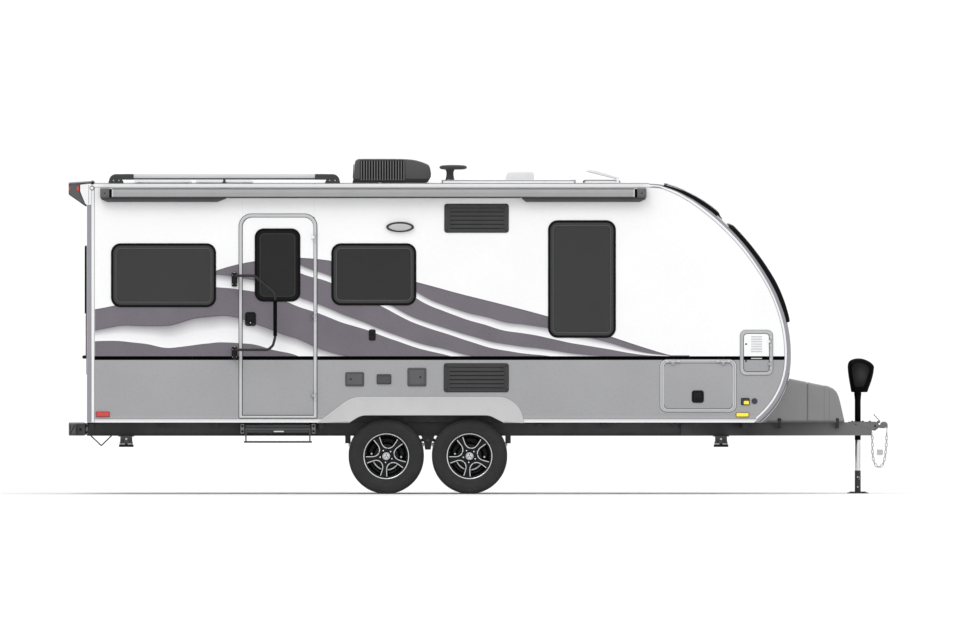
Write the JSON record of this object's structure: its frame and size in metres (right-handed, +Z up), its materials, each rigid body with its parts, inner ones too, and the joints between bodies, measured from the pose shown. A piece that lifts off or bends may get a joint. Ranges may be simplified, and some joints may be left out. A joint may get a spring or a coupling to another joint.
{
  "type": "travel caravan",
  "caption": "Tandem axle travel trailer with side entry door, awning, roof air conditioner, tongue jack, folding stabilizers, luggage doors and a pull-out step",
  "frame": {"origin": "on the ground below the middle of the bounding box", "axes": "+X forward to the hitch, +Y to the left side, +Z up; the entry door is on the -Y side"},
  "size_m": [7.499, 2.7119, 3.061],
  "materials": {
    "gelcoat_white": "smooth white laminate skin",
    "frame_black": "black chassis paint",
    "bright_metal": "zinc plated steel",
    "alloy": "machined and black painted alloy",
    "tyre_rubber": "tyre rubber",
    "floor_board": "laminated floor",
    "trim_grey": "grey moulded plastic",
    "trim_black": "black moulded plastic",
    "handle_steel": "tube with a black grip",
    "tinted_glass": "dark tinted acrylic",
    "vent_smoke": "smoked lid",
    "awning_alloy": "anodised case"
  },
  "bodies": {
    "body": {"air_conditioner": "trim_grey", "awning_cassette": "awning_alloy", "axles": "frame_black", "cabin_floor": "floor_board", "chassis_crossmembers": "frame_black", "chassis_rails": "frame_black", "coupler": "frame_black", "entry_door_frame": "trim_black", "exterior_lamps": "trim_grey", "grab_handle_brackets": "trim_black", "interior_fittings": "floor_board", "leaf_springs": "frame_black", "left_side_wall": "gelcoat_white", "locker_frames": "trim_grey", "nose_panel": "gelcoat_white", "rear_bumper": "frame_black", "rear_spoiler": "trim_grey", "rear_wall": "gelcoat_white", "right_side_wall": "gelcoat_white", "roof_fittings": "trim_grey", "roof_panel": "gelcoat_white", "roof_rack": "alloy", "safety_chains": "bright_metal", "service_hatches": "trim_grey", "skirt_rails": "gelcoat_white", "solar_panels": "trim_black", "stabilizer_channels": "frame_black", "tongue_cover": "trim_grey", "tongue_jack_housing": "frame_black", "tongue_rails": "frame_black", "wheel_arch_trims": "trim_grey", "window_frames": "trim_black", "window_glass": "tinted_glass"},
    "entry_door": {"entry_door": "gelcoat_white", "entry_door_window": "tinted_glass"},
    "grab_handle": {"grab_handle": "handle_steel"},
    "tongue_jack_leg": {"tongue_jack_leg": "bright_metal"},
    "right_luggage_door": {"right_luggage_door": "gelcoat_white"},
    "left_luggage_door": {"left_luggage_door": "gelcoat_white"},
    "front_service_door": {"front_service_door": "gelcoat_white"},
    "roof_vent_lid": {"roof_vent_lid": "vent_smoke"},
    "entry_step": {"entry_step": "frame_black"},
    "right_rear_wheel": {"right_rear_wheel": "alloy", "right_rear_tyre": "tyre_rubber"},
    "right_rear_stabilizer_leg": {"right_rear_stabilizer_leg": "frame_black"},
    "right_rear_stabilizer_foot": {"right_rear_stabilizer_foot": "frame_black"},
    "right_front_wheel": {"right_front_wheel": "alloy", "right_front_tyre": "tyre_rubber"},
    "right_front_stabilizer_leg": {"right_front_stabilizer_leg": "frame_black"},
    "right_front_stabilizer_foot": {"right_front_stabilizer_foot": "frame_black"},
    "left_rear_wheel": {"left_rear_wheel": "alloy", "left_rear_tyre": "tyre_rubber"},
    "left_rear_stabilizer_leg": {"left_rear_stabilizer_leg": "frame_black"},
    "left_rear_stabilizer_foot": {"left_rear_stabilizer_foot": "frame_black"},
    "left_front_wheel": {"left_front_wheel": "alloy", "left_front_tyre": "tyre_rubber"},
    "left_front_stabilizer_leg": {"left_front_stabilizer_leg": "frame_black"},
    "left_front_stabilizer_foot": {"left_front_stabilizer_foot": "frame_black"}
  },
  "joints": [
    {"name": "right_rear_wheel_spin", "type": "hinge", "parent": "body", "child": "right_rear_wheel", "pos_m": [-0.844, -1.065, 0.345], "axis": [0, 1, 0], "continuous": true},
    {"name": "right_front_wheel_spin", "type": "hinge", "parent": "body", "child": "right_front_wheel", "pos_m": [-0.082, -1.065, 0.345], "axis": [0, 1, 0], "continuous": true},
    {"name": "left_rear_wheel_spin", "type": "hinge", "parent": "body", "child": "left_rear_wheel", "pos_m": [-0.844, 1.065, 0.345], "axis": [0, 1, 0], "continuous": true},
    {"name": "left_front_wheel_spin", "type": "hinge", "parent": "body", "child": "left_front_wheel", "pos_m": [-0.082, 1.065, 0.345], "axis": [0, 1, 0], "continuous": true},
    {"name": "entry_door_hinge", "type": "hinge", "parent": "body", "child": "entry_door", "pos_m": [-1.5, -1.241, 1.626], "axis": [0, 0, 1], "range_deg": [0, 100]},
    {"name": "grab_handle_swing", "type": "hinge", "parent": "body", "child": "grab_handle", "pos_m": [-2.233, -1.309, 1.628], "axis": [0, 0, 1], "range_deg": [-178, 0]},
    {"name": "tongue_jack_lift", "type": "slide", "parent": "body", "child": "tongue_jack_leg", "axis": [0, 0, 1], "range_m": [-0.18, 0.27]},
    {"name": "right_luggage_door_hinge", "type": "hinge", "parent": "body", "child": "right_luggage_door", "pos_m": [2.01, -1.236, 1.211], "axis": [-1, 0, 0], "range_deg": [0, 110]},
    {"name": "left_luggage_door_hinge", "type": "hinge", "parent": "body", "child": "left_luggage_door", "pos_m": [2.01, 1.236, 1.211], "axis": [1, 0, 0], "range_deg": [0, 110]},
    {"name": "service_door_hinge", "type": "hinge", "parent": "body", "child": "front_service_door", "pos_m": [2.67, -1.236, 1.293], "axis": [0, 0, 1], "range_deg": [0, 110]},
    {"name": "roof_vent_lid_hinge", "type": "hinge", "parent": "body", "child": "roof_vent_lid", "pos_m": [1.275, 0, 2.884], "axis": [0, 1, 0], "range_deg": [-14, 50]},
    {"name": "entry_step_slide", "type": "slide", "parent": "body", "child": "entry_step", "axis": [0, -1, 0], "range_m": [0, 0.22]},
    {"name": "right_rear_stabilizer_fold", "type": "hinge", "parent": "body", "child": "right_rear_stabilizer_leg", "pos_m": [-3.223, -0.6, 0.485], "axis": [1, 0, 0], "range_deg": [0, 59.5]},
    {"name": "right_rear_stabilizer_foot_level", "type": "hinge", "parent": "right_rear_stabilizer_leg", "child": "right_rear_stabilizer_foot", "pos_m": [-3.223, -1.1, 0.48], "axis": [1, 0, 0], "range_deg": [-59.5, 0]},
    {"name": "left_rear_stabilizer_fold", "type": "hinge", "parent": "body", "child": "left_rear_stabilizer_leg", "pos_m": [-3.223, 0.6, 0.485], "axis": [-1, 0, 0], "range_deg": [0, 59.5]},
    {"name": "left_rear_stabilizer_foot_level", "type": "hinge", "parent": "left_rear_stabilizer_leg", "child": "left_rear_stabilizer_foot", "pos_m": [-3.223, 1.1, 0.48], "axis": [-1, 0, 0], "range_deg": [-59.5, 0]},
    {"name": "right_front_stabilizer_fold", "type": "hinge", "parent": "body", "child": "right_front_stabilizer_leg", "pos_m": [2.219, -0.6, 0.485], "axis": [1, 0, 0], "range_deg": [0, 59.5]},
    {"name": "right_front_stabilizer_foot_level", "type": "hinge", "parent": "right_front_stabilizer_leg", "child": "right_front_stabilizer_foot", "pos_m": [2.219, -1.1, 0.48], "axis": [1, 0, 0], "range_deg": [-59.5, 0]},
    {"name": "left_front_stabilizer_fold", "type": "hinge", "parent": "body", "child": "left_front_stabilizer_leg", "pos_m": [2.219, 0.6, 0.485], "axis": [-1, 0, 0], "range_deg": [0, 59.5]},
    {"name": "left_front_stabilizer_foot_level", "type": "hinge", "parent": "left_front_stabilizer_leg", "child": "left_front_stabilizer_foot", "pos_m": [2.219, 1.1, 0.48], "axis": [-1, 0, 0], "range_deg": [-59.5, 0]}
  ],
  "couplings": [
    {"joint": "grab_handle_swing", "follows": "entry_door_hinge", "ratio": -1.78},
    {"joint": "right_rear_stabilizer_foot_level", "follows": "right_rear_stabilizer_fold", "ratio": -1},
    {"joint": "left_rear_stabilizer_foot_level", "follows": "left_rear_stabilizer_fold", "ratio": -1},
    {"joint": "right_front_stabilizer_foot_level", "follows": "right_front_stabilizer_fold", "ratio": -1},
    {"joint": "left_front_stabilizer_foot_level", "follows": "left_front_stabilizer_fold", "ratio": -1}
  ]
}
